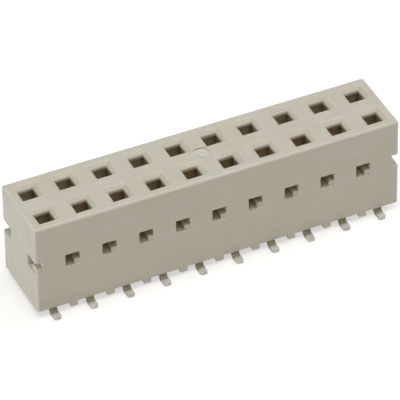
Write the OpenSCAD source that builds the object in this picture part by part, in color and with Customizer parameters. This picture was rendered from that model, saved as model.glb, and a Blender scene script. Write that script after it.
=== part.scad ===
// Two-row socket for square pins, soldered flat on a circuit board.
// One moulded housing holds a stamped spring contact in every pocket.
// The origin lies on the board under the middle of the socket, with the rows along X and Z up.

/* [Contact grid] */
// Number of contacts in each row
ways = 10; // [2:1:20]
// Distance between neighbouring contacts in a row
pitch = 2.54; // [2.4:0.02:3]
// Distance between the two rows
row_gap = 2.54; // [2.4:0.02:2.7]

/* [Housing] */
// Width over the two long faces
body_w = 5.2; // [5:0.02:5.6]
// Height from the bottom face to the top face
body_h = 6.55; // [6:0.05:8]
// Height of the bottom face above the board
body_lift = 0.55; // [0.5:0.01:0.65]
// Distance from the axes of the outermost contacts to the end faces
end_wall = 1.28; // [1.2:0.01:1.4]
// Radius of the upright edges
side_r = 0.2; // [0.05:0.01:0.3]
// Radius of the edges around the top face
top_r = 0.2; // [0.05:0.01:0.3]

/* [Pin entries] */
// Width of the square throat that a pin passes through
throat_w = 1.05; // [0.9:0.01:1.1]
// Width of the lead-in at the top face
entry_w = 1.62; // [1.3:0.01:1.64]
// Depth of the sloping lead-in around each throat
entry_depth = 0.24; // [0.15:0.01:0.3]
// Thickness of the top wall under which the beams spread
top_wall = 0.4; // [0.35:0.05:0.8]

/* [Contact pockets] */
// Width of the chamber that a contact's beams spread in
chamber_w = 1.26; // [1.12:0.02:1.34]
// Size of the chamber and of the pocket across the row
chamber_d = 1.6; // [1.3:0.02:1.64]
// Height of the lower pocket that holds the base of a contact
pocket_h = 2.4; // [2:0.05:2.6]
// Width of the ledge that stops the contact on its way in
ledge = 0.12; // [0.08:0.01:0.14]

/* [Side windows] */
// Width of a window along the housing
window_w = 0.99; // [0.8:0.01:1.04]
// Height of a window
window_h = 0.96; // [0.8:0.01:1.04]
// Depth of a window into the housing
window_d = 1.3; // [1:0.05:1.6]
// Height of the windows' middle above the bottom face
window_z = 3.44; // [3.1:0.02:4]
// Width of the step left standing in one corner of a window
step_w = 0.36; // [0.2:0.01:0.45]
// Height of that step
step_h = 0.38; // [0.2:0.01:0.6]
// How far the step's face lies behind the long face
step_inset = 0.08; // [0.04:0.01:0.3]
// Length of the step into the window
step_d = 0.8; // [0.4:0.05:0.9]

/* [Standoffs] */
// Width of a standoff along the housing
standoff_w = 0.5; // [0.3:0.01:0.8]
// Height of a standoff under the bottom face
standoff_h = 0.35; // [0.2:0.005:0.4]
// Length of a standoff in from the long face
standoff_d = 0.8; // [0.4:0.05:1.2]

/* [Centre mark] */
// Width of the shallow square recess in the middle of the top
mark_w = 1.08; // [0.8:0.01:1.12]
// Corner radius of the recess
mark_r = 0.37; // [0.32:0.01:0.38]
// Depth of the recess
mark_depth = 0.1; // [0.06:0.01:0.15]
// Diameter of the round gate mark on its floor
gate_w = 0.7; // [0.4:0.01:0.8]
// Height of the gate mark
gate_h = 0.04; // [0.02:0.01:0.05]

/* [Contacts] */
// Thickness of the sheet that the contacts are stamped from
sheet = 0.2; // [0.15:0.01:0.22]
// Centre-line radius of the bends in the tail and at the roots of the beams
bend_r = 0.18; // [0.16:0.01:0.22]
// Centre-line radius of the folds between the base and its two leaves
fold_r = 0.15; // [0.13:0.01:0.2]
// Height of the folded base
base_h = 1.7; // [1.2:0.05:1.8]
// Play between each leaf and the pocket wall beside it
leaf_gap = 0.07; // [0.03:0.01:0.08]
// How far the leaves reach past the contact's axis on their open side
leaf_reach = 0.52; // [0.36:0.01:0.6]
// Height of a retention barb
barb_h = 0.4; // [0.3:0.01:0.5]
// Height of the blunt tip of a barb
barb_tip = 0.06; // [0.03:0.01:0.1]
// Width of a beam at its root
beam_root_w = 0.52; // [0.4:0.01:0.56]
// Width of a beam at its tip
beam_tip_w = 0.34; // [0.2:0.01:0.4]
// Gap between the two beams where they touch the pin
beam_gap = 0.4; // [0.2:0.01:0.5]
// Centre-line radius of the crown that touches the pin
crown_r = 0.4; // [0.3:0.01:0.5]
// Angle by which the beam tips flare away from the pin
flare = 28; // [20:1:35]
// Straight length of the flared tip
flare_l = 0.22; // [0.15:0.01:0.3]
// Clear height between the beam tips and the top wall
tip_gap = 0.9; // [0.5:0.05:1.2]

/* [Tails] */
// Width of a tail
tail_w = 0.5; // [0.3:0.01:0.54]
// How far a tail stands to the folded side of the contact's axis
tail_shift = 0.13; // [0.08:0.005:0.2]
// How far the foot's tip stands out from the long face
foot_reach = 0.63; // [0.6:0.01:0.9]
// Flat length of the foot that lies on its pad
foot_l = 0.62; // [0.3:0.01:0.7]
// Clear height between the tail and the bottom face
tail_clear = 0.12; // [0.08:0.01:0.2]
// Size of the cut corners at the foot's tip
foot_chamfer = 0.04; // [0.02:0.01:0.15]

/* [Hidden] */
$fn = 48;
bend_steps = 4;
over = 0.5;
body_l = (ways - 1) * pitch + 2 * end_wall;
top_z = body_lift + body_h;
ledge_z = body_lift + pocket_h;
chamber_z = top_z - top_wall;
pocket_w = chamber_w + 2 * ledge;
window_low = body_lift + window_z - window_h / 2;
leaf_y = chamber_d / 2 - leaf_gap - sheet / 2;
web_x = sheet / 2 - pocket_w / 2;
base_low = ledge_z - base_h;
crown_y = beam_gap / 2 + sheet / 2;
foot_tip = row_gap / 2 - body_w / 2 - foot_reach;
tail_rise = body_lift - tail_clear - sheet;
tail_turn = acos(1 - tail_rise / (2 * bend_r));
clay = [0.78, 0.765, 0.706];
tin = [0.74, 0.72, 0.68];

contact_rows = ["front", "back"];

// A length along the direction at an angle
function along(length, angle) = length * [cos(angle), sin(angle)];

// Centre line of a strip bent from flat sheet and seen from its edge, as points with their directions.
// Each step is a straight run followed by a bend: [run, angle, radius].
function bent_line(steps, start, heading, i = 0) =
    i == len(steps) ? [] :
    let (
        run = steps[i][0],
        turn = steps[i][1],
        side = sign(turn),
        r = steps[i][2],
        corner = start + along(run, heading),
        centre = corner + along(side * r, heading + 90),
        bend = turn == 0 ? [] : [
            for (k = [1 : bend_steps])
                let (a = heading + turn * k / bend_steps)
                [centre - along(side * r, a + 90), a]
        ],
        end = turn == 0 ? corner : bend[bend_steps - 1][0]
    )
    concat(run == 0 ? [] : [[corner, heading]], bend, bent_line(steps, end, heading + turn, i + 1));

// Outline of a bent strip of the sheet's thickness
function strip(steps, start, heading) =
    let (line = concat([[start, heading]], bent_line(steps, start, heading)))
    concat(
        [for (p = line) p[0] + along(sheet / 2, p[1] + 90)],
        [for (k = [len(line) - 1 : -1 : 0]) line[k][0] - along(sheet / 2, line[k][1] + 90)]
    );

// Sets a side view, drawn as Y and Z, square across X
module across_x(w) {
    rotate([90, 0, 90]) linear_extrude(w, center = true) children();
}

// Sets a front view, drawn as X and Z, square across Y
module across_y(d) {
    rotate([90, 0, 0]) linear_extrude(d, center = true) children();
}

// A room centred on the contact's axis between two heights
module room(w, d, low, high) {
    translate([-w / 2, -d / 2, low]) cube([w, d, high - low]);
}

module rounded_square(w, d, r) {
    square([w - 2 * r, d], center = true);
    square([w, d - 2 * r], center = true);
    for (x = [-1, 1], y = [-1, 1])
        translate([x * (w / 2 - r), y * (d / 2 - r)]) circle(r);
}

// End or side view of the housing, with its two upper corners rounded
module crowned_square(w, h, r) {
    translate([-w / 2, 0]) square([w, h - r]);
    translate([r - w / 2, 0]) square([w - 2 * r, h]);
    for (x = [-1, 1])
        translate([x * (w / 2 - r), h - r]) circle(r);
}

// Plain outside of the housing, with rounded upright and top edges
module shell() {
    translate([0, 0, body_lift]) intersection() {
        linear_extrude(body_h) rounded_square(body_l, body_w, side_r);
        across_y(body_w + over) crowned_square(body_l, body_h, top_r);
        across_x(body_l + over) crowned_square(body_w, body_h, top_r);
    }
}

// Sloping lead-in that guides a pin into its throat
module entry() {
    reach = entry_w / 2 + over * (entry_w - throat_w) / 2 / entry_depth;
    slope = [
        [-reach, top_z + over],
        [-throat_w / 2, top_z - entry_depth],
        [throat_w / 2, top_z - entry_depth],
        [reach, top_z + over]
    ];
    intersection() {
        across_x(2 * reach) polygon(slope);
        across_y(2 * reach) polygon(slope);
    }
}

// Everything that is open around one contact, from the lead-in to the bottom face
module cavity() {
    entry();
    room(throat_w, throat_w, chamber_z - over, top_z);
    room(chamber_w, chamber_d, ledge_z - over, chamber_z);
    room(pocket_w, chamber_d, body_lift - over, ledge_z);
}

// Window in the front face, with a step left in its lower corner
module window() {
    difference() {
        translate([-window_w / 2, -body_w / 2 - over, window_low])
            cube([window_w, over + window_d, window_h]);
        translate([window_w / 2 - step_w, step_inset - body_w / 2, window_low - over])
            cube([step_w + over, step_d, over + step_h]);
    }
}

// Shallow recess in the middle of the top, with a round gate mark
module centre_mark() {
    floor_z = top_z - mark_depth;
    difference() {
        translate([0, 0, floor_z]) linear_extrude(mark_depth + over) rounded_square(mark_w, mark_w, mark_r);
        translate([0, 0, floor_z - over]) cylinder(h = over + gate_h, d = gate_w);
    }
}

module standoff() {
    translate([-standoff_w / 2, -body_w / 2, body_lift - standoff_h])
        cube([standoff_w, standoff_d, standoff_h + over]);
}

// Places a thing on the front row, and turned half round on the back row
module both_rows() {
    for (turn = [0, 180])
        rotate([0, 0, turn]) children();
}

module housing() {
    color(clay) difference() {
        union() {
            shell();
            both_rows() for (i = [1 : ways - 1])
                translate([(i - ways / 2) * pitch, 0, 0]) standoff();
        }
        both_rows() for (i = [1 : ways])
            translate([contact_x(i), -row_gap / 2, 0]) cavity();
        both_rows() for (i = [0 : ways])
            translate([(i - ways / 2) * pitch, 0, 0]) window();
        centre_mark();
    }
}

// Place of a contact along its row, counted from 1
function contact_x(i) = (i - (ways + 1) / 2) * pitch;

// Folded base: a web flat on the pocket wall and a leaf on either side of the pin
module base() {
    leaf_run = leaf_reach - web_x - fold_r;
    web_run = 2 * (leaf_y - fold_r);
    translate([0, 0, base_low]) linear_extrude(base_h)
        polygon(strip([[leaf_run, -90, fold_r], [web_run, -90, fold_r], [leaf_run, 0, 0]], [leaf_reach, -leaf_y], 180));
}

// Saw-toothed barb on the open edge of a leaf, its tip against the pocket wall
module barb(low) {
    across_y(sheet) polygon([
        [leaf_reach - sheet, low],
        [pocket_w / 2, low],
        [pocket_w / 2, low + barb_tip],
        [leaf_reach, low + barb_h],
        [leaf_reach - sheet, low + barb_h]
    ]);
}

// Spring beam on the front leaf: it leans in to the pin, and its tip flares out
module beam() {
    tip_z = chamber_z - tip_gap;
    root = ledge_z - base_h / 3;
    lean = atan((leaf_y - crown_y) / (tip_z - ledge_z - crown_r - flare_l));
    bends = bend_r * sin(lean) + crown_r * (sin(lean) + sin(flare));
    slope_l = (tip_z - ledge_z - bends - (flare_l * cos(flare) + sheet / 2 * sin(flare))) / cos(lean);
    steps = [[ledge_z - root, -lean, bend_r], [slope_l, lean + flare, crown_r], [flare_l, 0, 0]];
    intersection() {
        across_x(2 * beam_root_w) polygon(strip(steps, [-leaf_y, root], 90));
        across_y(4 * leaf_y) polygon([
            [-beam_root_w / 2, root],
            [beam_root_w / 2, root],
            [beam_root_w / 2, ledge_z],
            [beam_tip_w / 2, tip_z],
            [-beam_tip_w / 2, tip_z],
            [-beam_root_w / 2, ledge_z]
        ]);
    }
}

// Tail from the front leaf down to the board and out past the long face
module tail() {
    bend_y = -leaf_y - bend_r;
    step_y = 2 * bend_r * sin(tail_turn);
    run = bend_y - foot_tip - foot_l - step_y;
    rise = base_low + over - sheet / 2 - tail_rise - bend_r;
    steps = [[foot_l, tail_turn, bend_r], [0, -tail_turn, bend_r], [run, 90, bend_r], [rise, 0, 0]];
    translate([-tail_shift, 0, 0]) intersection() {
        across_x(tail_w) polygon(strip(steps, [foot_tip, sheet / 2], 0));
        linear_extrude(ledge_z) polygon([
            [foot_chamfer - tail_w / 2, foot_tip],
            [tail_w / 2 - foot_chamfer, foot_tip],
            [tail_w / 2, foot_tip + foot_chamfer],
            [tail_w / 2, 0],
            [-tail_w / 2, 0],
            [-tail_w / 2, foot_tip + foot_chamfer]
        ]);
    }
}

module contact() {
    color(tin) {
        base();
        tail();
        for (side = [0, 1])
            mirror([0, side, 0]) {
                beam();
                for (low = [base_low + barb_h / 2, base_low + 2 * barb_h])
                    translate([0, -leaf_y, 0]) barb(low);
            }
    }
}

module contact_in_row(row, i) {
    rotate([0, 0, row == "front" ? 0 : 180])
        translate([row == "front" ? contact_x(i) : -contact_x(i), -row_gap / 2, 0]) contact();
}

housing();
for (row = contact_rows, i = [1 : ways])
    contact_in_row(row, i);
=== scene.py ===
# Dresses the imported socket: a moulded housing with soft rims, and stamped contacts with smooth bends.
import bmesh
import bpy
import math
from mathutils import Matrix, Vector


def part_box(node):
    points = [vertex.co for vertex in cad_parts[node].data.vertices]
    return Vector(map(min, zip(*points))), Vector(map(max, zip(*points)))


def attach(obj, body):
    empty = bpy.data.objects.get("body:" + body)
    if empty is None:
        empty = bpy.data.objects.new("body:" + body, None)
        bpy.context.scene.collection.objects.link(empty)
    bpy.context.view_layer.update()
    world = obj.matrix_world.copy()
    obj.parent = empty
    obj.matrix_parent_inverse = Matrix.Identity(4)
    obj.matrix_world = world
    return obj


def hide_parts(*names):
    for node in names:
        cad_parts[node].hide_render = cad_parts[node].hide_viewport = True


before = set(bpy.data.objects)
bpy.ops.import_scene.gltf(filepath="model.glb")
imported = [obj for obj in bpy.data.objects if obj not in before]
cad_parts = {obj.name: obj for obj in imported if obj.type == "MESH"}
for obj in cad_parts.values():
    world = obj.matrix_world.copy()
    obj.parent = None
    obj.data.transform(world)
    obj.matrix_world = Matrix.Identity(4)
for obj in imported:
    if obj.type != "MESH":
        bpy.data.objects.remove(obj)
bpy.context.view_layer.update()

scene = bpy.context.scene
mm = 0.001
same = 0.001  # two places this close, in mm, count as one
joinWithin = 1e-7  # corners of a mesh this close, in metres, are joined
print("frame loaded:", len(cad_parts), "nodes")

# The camera stands where the photo was taken. Each softbox has its bearing from the front towards
# the left, its height above the floor in degrees, its width in metres and its colour in watts. The
# floor gives off some light of its own, so the shadows stay faint.
studio = {
    "cameraPlace": (-0.097657, -0.214647, 0.193209),
    "cameraTurn": (51.1478, 0.7767, -25.0522),
    "lens": 427.15,
    "sensor": 36,
    "softboxDistance": 0.6,
    "softboxes": {
        "overhead": (0, 89, 0.35, (1.27, 1.27, 1.37)),
        "frontHigh": (0, 65, 0.30, (0.84, 0.82, 0.75)),
        "frontLow": (0, 30, 0.20, (0.31, 0.26, 0.19)),
        "leftHigh": (90, 65, 0.30, (1.08, 1.08, 0.96)),
        "leftLow": (90, 9, 0.15, (1.26, 1.31, 1.45)),
        "right": (-90, 40, 0.30, (1.71, 1.78, 1.91)),
        "back": (180, 20, 0.30, (0.35, 0.39, 0.39)),
    },
    "floorReach": 3,
    "floorColour": (0.46, 0.452, 0.434),
    "floorRoughness": 0.9,
    "floorSheen": 0.1,
    "floorGlow": 0.53,
}


def towards(bearing, height):
    a, h = math.radians(bearing), math.radians(height)
    return Vector((-math.sin(a) * math.cos(h), -math.cos(a) * math.cos(h), math.sin(h)))


def buildStudio():
    lens = bpy.data.cameras.new("photoCamera")
    lens.lens = studio["lens"]
    lens.sensor_width = studio["sensor"]
    camera = bpy.data.objects.new("photoCamera", lens)
    camera.location = studio["cameraPlace"]
    camera.rotation_euler = [math.radians(a) for a in studio["cameraTurn"]]
    scene.collection.objects.link(camera)
    scene.camera = camera

    for name, (bearing, height, width, watts) in studio["softboxes"].items():
        lamp = bpy.data.lights.new(name, "AREA")
        lamp.size = width
        lamp.energy = max(watts)
        lamp.color = [w / max(watts) for w in watts]
        softbox = bpy.data.objects.new(name, lamp)
        away = towards(bearing, height)
        softbox.location = away * studio["softboxDistance"]
        softbox.rotation_euler = (-away).to_track_quat("-Z", "Y").to_euler()
        scene.collection.objects.link(softbox)

    world = bpy.data.worlds.new("darkRoom")
    world.use_nodes = True
    world.node_tree.nodes["Background"].inputs["Color"].default_value = (0, 0, 0, 1)
    scene.world = world

    bm = bmesh.new()
    bmesh.ops.create_grid(bm, x_segments=1, y_segments=1, size=studio["floorReach"])
    mesh = bpy.data.meshes.new("floor")
    bm.to_mesh(mesh)
    bm.free()
    floor = bpy.data.objects.new("floor", mesh)
    scene.collection.objects.link(floor)
    paper = bpy.data.materials.new("palePaper")
    paper.use_nodes = True
    shader = paper.node_tree.nodes["Principled BSDF"].inputs
    shader["Base Color"].default_value = (*studio["floorColour"], 1)
    shader["Roughness"].default_value = studio["floorRoughness"]
    shader["Specular IOR Level"].default_value = studio["floorSheen"]
    shader["Emission Color"].default_value = (1, 1, 1, 1)
    shader["Emission Strength"].default_value = studio["floorGlow"]
    mesh.materials.append(paper)
    scene.view_settings.view_transform = "Standard"
    print("studio ready")


buildStudio()


# A material under construction: its node tree, with patterns measured in millimetres of the piece
class Finish:
    def __init__(self, name):
        self.material = bpy.data.materials.new(name)
        self.material.use_nodes = True
        self.tree = self.material.node_tree
        self.shader = self.tree.nodes["Principled BSDF"]
        self.object = self.add("ShaderNodeTexCoord").outputs["Object"]

    def add(self, kind, **settings):
        node = self.tree.nodes.new(kind)
        for key, value in settings.items():
            setattr(node, key, value)
        return node

    def link(self, output, node, socket):
        self.tree.links.new(output, node.inputs[socket])

    # Cloudy pattern from 0 to 1, with features of the given size in mm along X, Y and Z
    def clouds(self, size, detail=2.0, shift=0.0):
        mapping = self.add("ShaderNodeMapping")
        mapping.inputs["Scale"].default_value = [1 / (s * mm) for s in size]
        mapping.inputs["Location"].default_value = (shift, shift / 2, -shift)
        self.link(self.object, mapping, "Vector")
        noise = self.add("ShaderNodeTexNoise")
        noise.inputs["Scale"].default_value = 1
        noise.inputs["Detail"].default_value = detail
        self.link(mapping.outputs["Vector"], noise, "Vector")
        return noise.outputs["Fac"]

    # Stretches the part of a pattern between two levels over a new range
    def span(self, pattern, levels, result):
        node = self.add("ShaderNodeMapRange", interpolation_type="SMOOTHSTEP")
        self.link(pattern, node, "Value")
        for socket, value in zip(("From Min", "From Max", "To Min", "To Max"), (*levels, *result)):
            node.inputs[socket].default_value = value
        return node.outputs["Result"]

    def maths(self, operation, a, b):
        node = self.add("ShaderNodeMath", operation=operation)
        for k, value in enumerate((a, b)):
            if isinstance(value, (int, float)):
                node.inputs[k].default_value = value
            else:
                self.link(value, node, k)
        return node.outputs["Value"]

    # Lays a colour over another one where the amount is high
    def over(self, base, colour, amount, blend="MIX"):
        node = self.add("ShaderNodeMix", data_type="RGBA", blend_type=blend)
        self.tree.links.new(amount, node.inputs["Factor"])
        for socket, value in ((node.inputs[6], base), (node.inputs[7], colour)):
            if isinstance(value, tuple):
                socket.default_value = (*value, 1)
            else:
                self.tree.links.new(value, socket)
        return node.outputs[2]

    def attribute(self, name):
        return self.add("ShaderNodeAttribute", attribute_name=name).outputs["Fac"]

    # Depth in mm under the nearest outer face of a block
    def depthIn(self, middle, halfSize):
        place = self.object
        for operation, value in (("SUBTRACT", middle), ("ABSOLUTE", None), ("SUBTRACT", halfSize)):
            node = self.add("ShaderNodeVectorMath", operation=operation)
            self.link(place, node, 0)
            if value:
                node.inputs[1].default_value = [v * mm for v in value]
            place = node.outputs["Vector"]
        apart = self.add("ShaderNodeSeparateXYZ")
        self.link(place, apart, "Vector")
        nearest = self.maths("MAXIMUM", apart.outputs["X"], apart.outputs["Y"])
        return self.maths("MULTIPLY", self.maths("MAXIMUM", nearest, apart.outputs["Z"]), -1 / mm)

    # Raises the surface by a pattern, with the height in mm
    def bump(self, pattern, height, strength=1.0, before=None):
        node = self.add("ShaderNodeBump")
        node.inputs["Distance"].default_value = height * mm
        node.inputs["Strength"].default_value = strength
        self.link(pattern, node, "Height")
        if before:
            self.link(before, node, "Normal")
        return node.outputs["Normal"]


# Grey-beige moulded plastic: clouds from the filler, flow marks along the part, flecks, rims lighter for
# wear and as a painted highlight, painted light in the throats, window rooms and recess, a painted browner
# shade deep inside, and a fine matt grain. Sizes are in mm.
plasticLook = {
    "colour": (0.461, 0.431, 0.356),
    "cloudColour": (0.427, 0.393, 0.315),
    "cloudSize": 2.6,
    "cloudLevels": (0.45, 0.75),
    "cloudAmount": 0.6,
    "flowColour": (0.481, 0.457, 0.39),
    "flowSize": (7.0, 0.8, 0.5),
    "flowLevels": (0.5, 0.8),
    "flowAmount": 0.6,
    "fleckColour": (0.4, 0.361, 0.28),
    "fleckSize": 0.16,
    "fleckLevels": (0.62, 0.8),
    "fleckAmount": 0.5,
    "wearAndPaintedLightColour": (0.529, 0.503, 0.43),
    "deepPaintedShadeColour": (1.0, 0.86, 0.63),
    "paintedShadeDepths": (0.05, 0.9),  # depths at which the painted browner shade sets in and is full
    "blockMiddle": (0, 0, 3.825),  # the outer faces that the depth is measured from
    "blockHalf": (12.71, 2.6, 3.275),
    "roughness": (0.48, 0.62),
    "roughLevels": (0.3, 0.7),
    "rimRoughness": 0.4,
    "gloss": 1.55,
    "grainSize": 0.07,
    "grainHeight": 0.0035,
    "waveSize": 1.4,
    "waveHeight": 0.006,
}


def mouldedPlastic():
    finish = Finish("mouldedPlastic")
    look = plasticLook
    cloud = finish.clouds([look["cloudSize"]] * 3, detail=3)
    flow = finish.clouds(look["flowSize"], detail=2, shift=3.7)
    fleck = finish.clouds([look["fleckSize"]] * 3, detail=1, shift=8.1)
    grain = finish.clouds([look["grainSize"]] * 3, detail=2)
    wave = finish.clouds([look["waveSize"]] * 3, detail=1, shift=1.3)
    rimWearAndPaintedLight = finish.attribute("rimWearAndPaintedLight")

    colour = look["colour"]
    for name, pattern in (("cloud", cloud), ("flow", flow), ("fleck", fleck)):
        amount = finish.span(pattern, look[name + "Levels"], (0, look[name + "Amount"]))
        colour = finish.over(colour, look[name + "Colour"], amount)
    # lighter colour from the face attribute: worn rims with a painted highlight, and painted light in
    # throats, window rooms and recess
    colour = finish.over(colour, look["wearAndPaintedLightColour"], rimWearAndPaintedLight)
    # painted shade: the colour grows darker and browner with depth inside the housing
    paintedDeepShade = finish.span(finish.depthIn(look["blockMiddle"], look["blockHalf"]), look["paintedShadeDepths"], (0, 1))
    colour = finish.over(colour, look["deepPaintedShadeColour"], paintedDeepShade, blend="MULTIPLY")
    finish.link(colour, finish.shader, "Base Color")

    rough = finish.span(fleck, look["roughLevels"], look["roughness"])
    mix = finish.add("ShaderNodeMix", data_type="FLOAT")
    finish.link(rimWearAndPaintedLight, mix, "Factor")
    finish.tree.links.new(rough, mix.inputs[2])
    mix.inputs[3].default_value = look["rimRoughness"]
    finish.tree.links.new(mix.outputs[0], finish.shader.inputs["Roughness"])
    finish.shader.inputs["IOR"].default_value = look["gloss"]

    normal = finish.bump(wave, look["waveHeight"])
    normal = finish.bump(grain, look["grainHeight"], before=normal)
    finish.link(normal, finish.shader, "Normal")
    return finish.material


# Dull tin plating on stamped sheet: rolling lines, small blotches, a painted shade above the foot where
# the housing shades the sheet, darker cut edges, and a shade for each contact. Sizes are in mm.
tinLook = {
    "colour": (0.81, 0.79, 0.74),
    "blotchColour": (0.68, 0.645, 0.58),
    "blotchLevels": (0.4, 0.75),
    "blotchAmount": 0.8,
    "dullColour": (0.3, 0.28, 0.24),
    "metallic": 0.7,
    "paintedTailShadeColour": (0.37, 0.335, 0.235),
    "cutColour": (0.66, 0.67, 0.68),
    "blotchSize": 0.35,
    "linesSize": (0.9, 0.05, 0.05),
    "shadeSpread": 0.12,
    "roughness": (0.46, 0.60),
    "roughLevels": (0.3, 0.7),
    "lineHeight": 0.002,
    "orangePeelSize": 0.12,
    "orangePeelHeight": 0.003,
}


def tinPlate():
    finish = Finish("tinPlate")
    look = tinLook
    blotch = finish.clouds([look["blotchSize"]] * 3, detail=3)
    lines = finish.clouds(look["linesSize"], detail=2, shift=2.2)
    peel = finish.clouds([look["orangePeelSize"]] * 3, detail=2, shift=5.1)
    shade = finish.attribute("shade")

    amount = finish.span(blotch, look["blotchLevels"], (0, look["blotchAmount"]))
    colour = finish.over(look["colour"], look["blotchColour"], amount)
    colour = finish.over(colour, look["dullColour"], finish.maths("MULTIPLY", shade, look["shadeSpread"]))
    # painted shade on the sheet above the foot, where the housing shades it
    colour = finish.over(colour, look["paintedTailShadeColour"], finish.attribute("tarnish"), blend="MULTIPLY")
    colour = finish.over(colour, look["cutColour"], finish.attribute("cut"), blend="MULTIPLY")
    finish.link(colour, finish.shader, "Base Color")
    finish.shader.inputs["Metallic"].default_value = look["metallic"]

    finish.link(finish.span(blotch, look["roughLevels"], look["roughness"]), finish.shader, "Roughness")
    normal = finish.bump(lines, look["lineHeight"])
    normal = finish.bump(peel, look["orangePeelHeight"], before=normal)
    finish.link(normal, finish.shader, "Normal")
    return finish.material


plastic = mouldedPlastic()
tin = tinPlate()
for name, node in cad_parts.items():
    node.data.materials.clear()
    node.data.materials.append(plastic if name == "housing" else tin)
print("materials ready")

# The housing keeps its moulded shape, and its sharp rims are softened as a mould leaves them. The rims
# of the lead-ins and throats are the softest ones, apart from those beside the centre recess. The arcs
# of the corner notches and the recess itself are too tight for it. The throats reach down a little
# further than in the frame, from the first depth to the second. Lengths are in mm.
housingLook = {
    "rimWidth": 0.02,
    "entryRim": 0.09,
    "middleEntryRim": 0.02,
    "throatRim": 0.12,
    "middleThroatRim": 0.08,
    "throatDepths": (0.4, 0.52),
    "leadInDepth": 0.24,
    "windowRim": 0.03,
    "windowHeights": (2.8, 4.6),
    "windowRoom": (0.1, 1.4),  # depths behind the long face
    "rimSegments": 3,
    "sharperThan": 35,  # only edges over this angle are softened
    "flatter": 0.5,  # faces that meet at less than this angle become one
    "shadedSharp": 30,  # edges over this angle stay sharp in the shading
    # how much lighter faces are painted: rims for wear and as a painted highlight, throats, window rooms
    # and recess with painted light, outer rounds with a painted highlight
    "rimWearAndHighlight": 0.5,
    "entryRimWearAndHighlight": 0.1,
    "throatPaintedLight": 1.0,
    "windowPaintedLight": 1.0,
    "recessPaintedLight": 1.0,
    "outerPaintedHighlight": 0.45,
    "outerRound": 0.25,
    "tilted": 0.995,  # a face counts as tilted below this share of its normal along any axis
    "upright": 0.05,  # and as upright below this share along Z
    "notch": (12.4, 2.2),  # the corner notches lie beyond this X and Y
    "recess": (0.7, 0.65, 6.8),  # the centre recess lies within this X and Y, above this Z
    "middleEntries": 2.6,  # the entries beside the recess lie within this X
}


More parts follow.
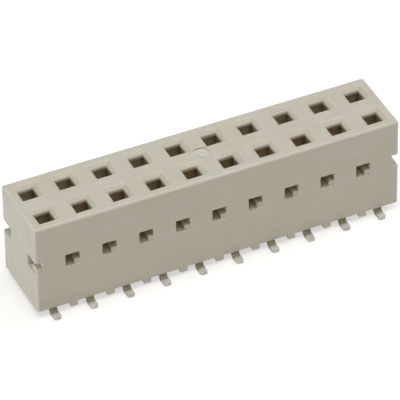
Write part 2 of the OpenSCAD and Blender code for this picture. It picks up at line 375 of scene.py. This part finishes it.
def softenHousing():
    look = housingLook
    bm = bmesh.new()
    bm.from_mesh(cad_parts["housing"].data)
    bmesh.ops.remove_doubles(bm, verts=bm.verts, dist=joinWithin)
    bmesh.ops.dissolve_limit(bm, angle_limit=math.radians(look["flatter"]), verts=bm.verts, edges=bm.edges)
    size = Vector(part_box("housing")[1]) / mm
    oldDepth, newDepth = look["throatDepths"]
    for vert in bm.verts:
        if abs(size.z - vert.co.z / mm - oldDepth) < same:
            vert.co.z = (size.z - newDepth) * mm

    def rimWidth(edge):
        x, y, z = (edge.verts[0].co + edge.verts[1].co) / (2 * mm)
        inNotch = abs(x) > look["notch"][0] and abs(y) > look["notch"][1]
        inRecess = abs(x) < look["recess"][0] and abs(y) < look["recess"][1] and z > look["recess"][2]
        if inNotch or inRecess or math.degrees(edge.calc_face_angle()) <= look["sharperThan"]:
            return 0
        middle = abs(x) < look["middleEntries"]
        upper, lower = sorted(size.z - v.co.z / mm for v in edge.verts)
        if lower < same:
            return look["middleEntryRim"] if middle else look["entryRim"]
        if lower - upper < same and abs(upper - look["leadInDepth"]) < same:
            return look["middleThroatRim"] if middle else look["throatRim"]
        low, high = look["windowHeights"]
        if all(size.y - abs(v.co.y) / mm < same for v in edge.verts) and low < z < high:
            return look["windowRim"]
        return look["rimWidth"]

    weight = bm.edges.layers.float.new("bevel_weight_edge")
    for edge in bm.edges:
        edge[weight] = rimWidth(edge) / look["entryRim"]
    maker = bpy.data.objects.new("housingMaker", bpy.data.meshes.new("housingMaker"))
    bm.to_mesh(maker.data)
    bm.free()
    scene.collection.objects.link(maker)
    for _ in range(2):
        maker.data.materials.append(plastic)
    soft = maker.modifiers.new("softRims", "BEVEL")
    soft.limit_method = "WEIGHT"
    soft.width = look["entryRim"] * mm
    soft.segments = look["rimSegments"]
    soft.use_clamp_overlap = False
    soft.material = 1
    seen = bpy.context.evaluated_depsgraph_get()
    mesh = bpy.data.meshes.new_from_object(maker.evaluated_get(seen), depsgraph=seen)
    mesh.name = "mouldedHousing"
    bpy.data.objects.remove(maker)

    # how light a face is painted: rims for wear and as a painted highlight, painted light in the throats,
    # the rooms behind the windows and the recess, a painted highlight on the outer rounds
    def shadeOf(face):
        x, y, z = face.center / mm
        normal, depth = face.normal, size.z - z
        softened = face.material_index == 1
        outside = min(size.x - abs(x), size.y - abs(y)) < look["outerRound"]
        leadIn, reach = look["leadInDepth"], look["throatRim"]
        # painted light on the throat rims and walls, and a faint painted highlight with wear on the
        # lead-in rims
        if softened and not outside and depth < leadIn + reach:
            return look["throatPaintedLight"] if depth > leadIn - reach else look["entryRimWearAndHighlight"]
        if not outside and leadIn < depth < newDepth:
            return look["throatPaintedLight"]
        # other softened rims: lighter for wear and as a painted highlight
        if softened:
            return look["rimWearAndHighlight"]
        # painted light on the rooms behind the windows
        low, high = look["windowHeights"]
        front, back = look["windowRoom"]
        if low < z < high and front < size.y - abs(y) < back:
            return look["windowPaintedLight"]
        # painted light on the recess floor and walls, against the shade it gets
        if max(abs(x), abs(y)) < look["recess"][1] and same < depth < size.z - look["recess"][2]:
            return look["recessPaintedLight"]
        # painted highlight on the tilted faces of the outer rounds
        tilted = max(abs(part) for part in normal) < look["tilted"]
        highlitRound = tilted and outside and (depth < look["outerRound"] or abs(normal.z) < look["upright"])
        return look["outerPaintedHighlight"] if highlitRound else 0

    shades = [shadeOf(face) for face in mesh.polygons]
    mesh.attributes.new("rimWearAndPaintedLight", "FLOAT", "FACE").data.foreach_set("value", shades)
    mesh.polygons.foreach_set("material_index", [0] * len(shades))
    mesh.materials.pop()
    mesh.polygons.foreach_set("use_smooth", [True] * len(shades))
    mesh.set_sharp_from_angle(angle=math.radians(look["shadedSharp"]))

    housing = bpy.data.objects.new("mouldedHousing", mesh)
    scene.collection.objects.link(housing)
    shading = housing.modifiers.new("evenShading", "WEIGHTED_NORMAL")
    shading.keep_sharp = True
    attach(housing, "root")
    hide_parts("housing")
    print("housing ready:", len(mesh.polygons), "faces")


softenHousing()

# One contact, in mm: the middle of its folded sheet, standing on the board with the pin's axis at 0, 0
contact = {
    "sheet": 0.2,
    "edgeRound": 0.03,
    "webX": -0.65,
    "leafY": 0.63,
    "foldRadius": 0.15,
    "openEdge": 0.52,
    "baseLow": 1.25,
    "baseTop": 2.95,
    "barbsLow": (1.45, 2.05),
    "barbHeight": 0.4,
    "barbTip": 0.06,
    "barbReach": 0.75,
    "beamRoot": 0.52,
    "beamTip": 0.34,
    "beamTop": 5.8,
    "crownY": 0.3,
    "crownRadius": 0.4,
    "flare": 28,
    "flareLength": 0.22,
    "bendRadius": 0.18,
    "tail": (-0.38, 0.12),  # its two edges
    "footTip": -1.96,
    "footLength": 0.62,
    "tailRise": 0.23,
    "footCut": (0.08, 0.12),  # cut corners of the foot, across and along
    "edgeBand": 0.03,  # strip beside the tail's edges where the darker cut fades out
    "bendSteps": 6,
    "edgeSteps": 2,
    "sharperThan": 50,
    "tailShadeFade": 0.25,  # length of foot over which the painted shade sets in
    "tarnishLift": 0.35,  # share of it that is lost on the way up
}

# How the contacts stand in the socket, in mm
rows = {"ways": 10, "pitch": 2.54, "rowGap": 2.54, "seed": 4}


# Centre line of a strip seen from its edge. Each step is a straight run, then a bend: run, angle, radius.
def bentLine(start, heading, steps):
    place, line = Vector(start), [Vector(start)]
    for run, turn, radius in steps:
        a = math.radians(heading)
        if run:
            place = place + run * Vector((math.cos(a), math.sin(a)))
            line.append(place)
        if turn:
            side = math.copysign(radius, turn)
            centre = place + side * Vector((-math.sin(a), math.cos(a)))
            for k in range(1, contact["bendSteps"] + 1):
                b = math.radians(heading + turn * k / contact["bendSteps"])
                line.append(centre - side * Vector((-math.sin(b), math.cos(b))))
            place, heading = line[-1], heading + turn
    return line


def beamLine():
    c = contact
    flare = math.radians(c["flare"])
    height = c["beamTop"] - c["baseTop"]
    lean = math.atan((c["leafY"] - c["crownY"]) / (height - c["crownRadius"] - c["flareLength"]))
    bends = c["bendRadius"] * math.sin(lean) + c["crownRadius"] * (math.sin(lean) + math.sin(flare))
    tip = c["flareLength"] * math.cos(flare) + c["sheet"] / 2 * math.sin(flare)
    slope = (height - bends - tip) / math.cos(lean)
    turn = math.degrees(lean)
    return bentLine((-c["leafY"], c["baseTop"]), 90, [
        (0, -turn, c["bendRadius"]),
        (slope, turn + c["flare"], c["crownRadius"]),
        (c["flareLength"], 0, 0)])


def tailLine():
    c = contact
    turn = math.degrees(math.acos(1 - c["tailRise"] / (2 * c["bendRadius"])))
    out = -c["leafY"] - c["bendRadius"] - c["footTip"] - c["footLength"]
    run = out - 2 * c["bendRadius"] * math.sin(math.radians(turn))
    rise = c["baseLow"] - c["sheet"] / 2 - c["tailRise"] - c["bendRadius"]
    cut = c["footCut"][1]
    return bentLine((c["footTip"], c["sheet"] / 2), 0, [
        (cut, 0, 0),
        (c["footLength"] - cut - c["tailShadeFade"], 0, 0),
        (c["tailShadeFade"], turn, c["bendRadius"]),
        (0, -turn, c["bendRadius"]),
        (run, 90, c["bendRadius"]),
        (rise, 0, 0)])


def foldContact():
    c = contact
    bm = bmesh.new()

    # a patch of sheet from rows of points, each row as long as the next
    def patch(grid):
        verts = [[bm.verts.new(Vector(p) * mm) for p in row] for row in grid]
        for a, b in zip(verts, verts[1:]):
            for k in range(len(a) - 1):
                bm.faces.new((a[k], a[k + 1], b[k + 1], b[k]))

    # folded base, drawn from above: leaf, fold, web, fold, leaf
    half, (left, right), band = c["beamRoot"] / 2, c["tail"], c["edgeBand"]
    fold = c["foldRadius"]
    across = [c["openEdge"], half, right, right - band, -half, left + band, left, c["webX"] + fold]
    turns = [k * math.pi / 2 / c["bendSteps"] for k in range(1, c["bendSteps"] + 1)]
    arc = [(c["webX"] + fold * (1 - math.sin(a)), fold * (1 - math.cos(a)) - c["leafY"]) for a in turns]
    outline = [(x, -c["leafY"]) for x in across] + arc
    outline += [(c["webX"], 0)] + [(x, -y) for x, y in reversed(outline)]
    levels = {c["baseLow"], c["baseTop"]}
    for low in c["barbsLow"]:
        levels |= {low, low + c["barbHeight"]}
    patch([[(x, y, z) for x, y in outline] for z in sorted(levels)])

    beam, places = beamLine(), (-half, right - band, right, half)
    for side in (1, -1):
        y = -side * c["leafY"]
        for low in c["barbsLow"]:
            patch([[(c["openEdge"], y, low), (c["barbReach"], y, low)],
                   [(c["openEdge"], y, low + c["barbHeight"]), (c["barbReach"], y, low + c["barbTip"])]])
        grid = []
        for by, bz in beam:
            done = (bz - c["baseTop"]) / (c["beamTop"] - c["baseTop"])
            width = c["beamRoot"] + (c["beamTip"] - c["beamRoot"]) * done
            grid.append([(x * width / c["beamRoot"], side * by, bz) for x in places])
        patch(grid)

    tail, inner = tailLine(), (left + band, -half, right - band)
    grid = [[(x, ty, tz) for x in (left, *inner, right)] for ty, tz in tail]
    cut = c["footCut"][0]
    ends = (left + cut, left + cut + band, -half, right - cut - band, right - cut)
    grid[0] = [(x, *tail[0]) for x in ends]
    patch(grid)

    bmesh.ops.remove_doubles(bm, verts=bm.verts, dist=joinWithin)
    bmesh.ops.recalc_face_normals(bm, faces=bm.faces)
    mesh = bpy.data.meshes.new("foldedSheet")
    bm.to_mesh(mesh)
    bm.free()
    mesh.polygons.foreach_set("use_smooth", [True] * len(mesh.polygons))
    # painted shade on the contact above the foot, where the housing shades it, somewhat less higher up
    tarnish = mesh.attributes.new("tarnish", "FLOAT", "POINT").data
    bare = mesh.attributes.new("cut", "FLOAT", "POINT").data
    for k, vert in enumerate(mesh.vertices):
        x, y, z = vert.co / mm
        along = 1 + (y - c["footTip"] - c["footLength"]) / c["tailShadeFade"]
        up = (z - c["sheet"] / 2) / c["tailRise"]
        tarnish[k].value = min(max(along, 0), 1) * (1 - c["tarnishLift"] * min(up, 1))
        onEdge = y < c["footTip"] + c["footCut"][1] - same or x < left + same or x > right - same
        bare[k].value = z < c["baseLow"] and onEdge
    return mesh


# Tree that sets one contact out in two rows, the second turned half round
def contactRowsTree():
    tree = bpy.data.node_groups.new("contactRows", "GeometryNodeTree")
    face = tree.interface
    face.new_socket("Contact", in_out="INPUT", socket_type="NodeSocketGeometry")
    for name, kind, value in (
            ("Ways", "NodeSocketInt", rows["ways"]),
            ("Pitch", "NodeSocketFloat", rows["pitch"] * mm),
            ("Row Gap", "NodeSocketFloat", rows["rowGap"] * mm),
            ("Seed", "NodeSocketInt", rows["seed"])):
        face.new_socket(name, in_out="INPUT", socket_type=kind).default_value = value
    face.new_socket("Finish", in_out="INPUT", socket_type="NodeSocketMaterial")
    face.new_socket("Contacts", in_out="OUTPUT", socket_type="NodeSocketGeometry")

    def add(kind, **settings):
        node = tree.nodes.new(kind)
        for key, value in settings.items():
            setattr(node, key, value)
        return node

    def maths(operation, *values):
        node = add("ShaderNodeMath", operation=operation)
        for k, value in enumerate(values):
            if isinstance(value, (int, float)):
                node.inputs[k].default_value = value
            else:
                tree.links.new(value, node.inputs[k])
        return node.outputs[0]

    def vector(x, y):
        node = add("ShaderNodeCombineXYZ")
        for socket, value in (("X", x), ("Y", y)):
            if value is not None:
                tree.links.new(value, node.inputs[socket])
        return node.outputs[0]

    given = add("NodeGroupInput").outputs
    length = maths("MULTIPLY", maths("SUBTRACT", given["Ways"], 1), given["Pitch"])
    line = add("GeometryNodeMeshLine", mode="OFFSET")
    tree.links.new(given["Ways"], line.inputs["Count"])
    tree.links.new(vector(maths("MULTIPLY", length, -0.5), maths("MULTIPLY", given["Row Gap"], -0.5)),
                   line.inputs["Start Location"])
    tree.links.new(vector(given["Pitch"], None), line.inputs["Offset"])
    placed = add("GeometryNodeInstanceOnPoints")
    tree.links.new(line.outputs[0], placed.inputs["Points"])
    tree.links.new(given["Contact"], placed.inputs["Instance"])

    joined = add("GeometryNodeJoinGeometry")
    for turn, seedStep in ((math.pi, 100), (0, 0)):
        turned = add("GeometryNodeTransform")
        turned.inputs["Rotation"].default_value = (0, 0, turn)
        tree.links.new(placed.outputs[0], turned.inputs["Geometry"])
        shade = add("FunctionNodeRandomValue", data_type="FLOAT")
        tree.links.new(maths("ADD", given["Seed"], seedStep), shade.inputs["Seed"])
        stored = add("GeometryNodeStoreNamedAttribute", data_type="FLOAT", domain="INSTANCE")
        stored.inputs["Name"].default_value = "shade"
        tree.links.new(turned.outputs[0], stored.inputs["Geometry"])
        tree.links.new(shade.outputs[1], stored.inputs["Value"])
        tree.links.new(stored.outputs[0], joined.inputs[0])
    real = add("GeometryNodeRealizeInstances")
    tree.links.new(joined.outputs[0], real.inputs[0])
    finish = add("GeometryNodeSetMaterial")
    tree.links.new(real.outputs[0], finish.inputs["Geometry"])
    tree.links.new(given["Finish"], finish.inputs["Material"])
    tree.links.new(finish.outputs[0], add("NodeGroupOutput").inputs["Contacts"])
    return tree


def buildContacts():
    maker = bpy.data.objects.new("contactMaker", foldContact())
    scene.collection.objects.link(maker)
    thick = maker.modifiers.new("sheetThickness", "SOLIDIFY")
    thick.thickness = contact["sheet"] * mm
    thick.offset = 0
    thick.use_even_offset = True
    rounded = maker.modifiers.new("stampedEdges", "BEVEL")
    rounded.width = contact["edgeRound"] * mm
    rounded.segments = contact["edgeSteps"]
    rounded.limit_method = "ANGLE"
    rounded.angle_limit = math.radians(contact["sharperThan"])
    placing = maker.modifiers.new("contactRows", "NODES")
    tree = contactRowsTree()
    placing.node_group = tree
    values = {"Ways": rows["ways"], "Pitch": rows["pitch"] * mm, "Row Gap": rows["rowGap"] * mm,
              "Seed": rows["seed"], "Finish": tin}
    for item in tree.interface.items_tree:
        if item.item_type == "SOCKET" and item.in_out == "INPUT" and item.name in values:
            placing[item.identifier] = values[item.name]

    seen = bpy.context.evaluated_depsgraph_get()
    mesh = bpy.data.meshes.new_from_object(maker.evaluated_get(seen), depsgraph=seen)
    mesh.name = "springContacts"
    bpy.data.objects.remove(maker)
    mesh.set_sharp_from_angle(angle=math.radians(contact["sharperThan"]))
    contacts = bpy.data.objects.new("springContacts", mesh)
    scene.collection.objects.link(contacts)
    shading = contacts.modifiers.new("evenShading", "WEIGHTED_NORMAL")
    shading.keep_sharp = True
    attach(contacts, "root")
    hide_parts(*[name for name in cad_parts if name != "housing"])
    print("contacts ready:", len(mesh.polygons), "faces")


buildContacts()
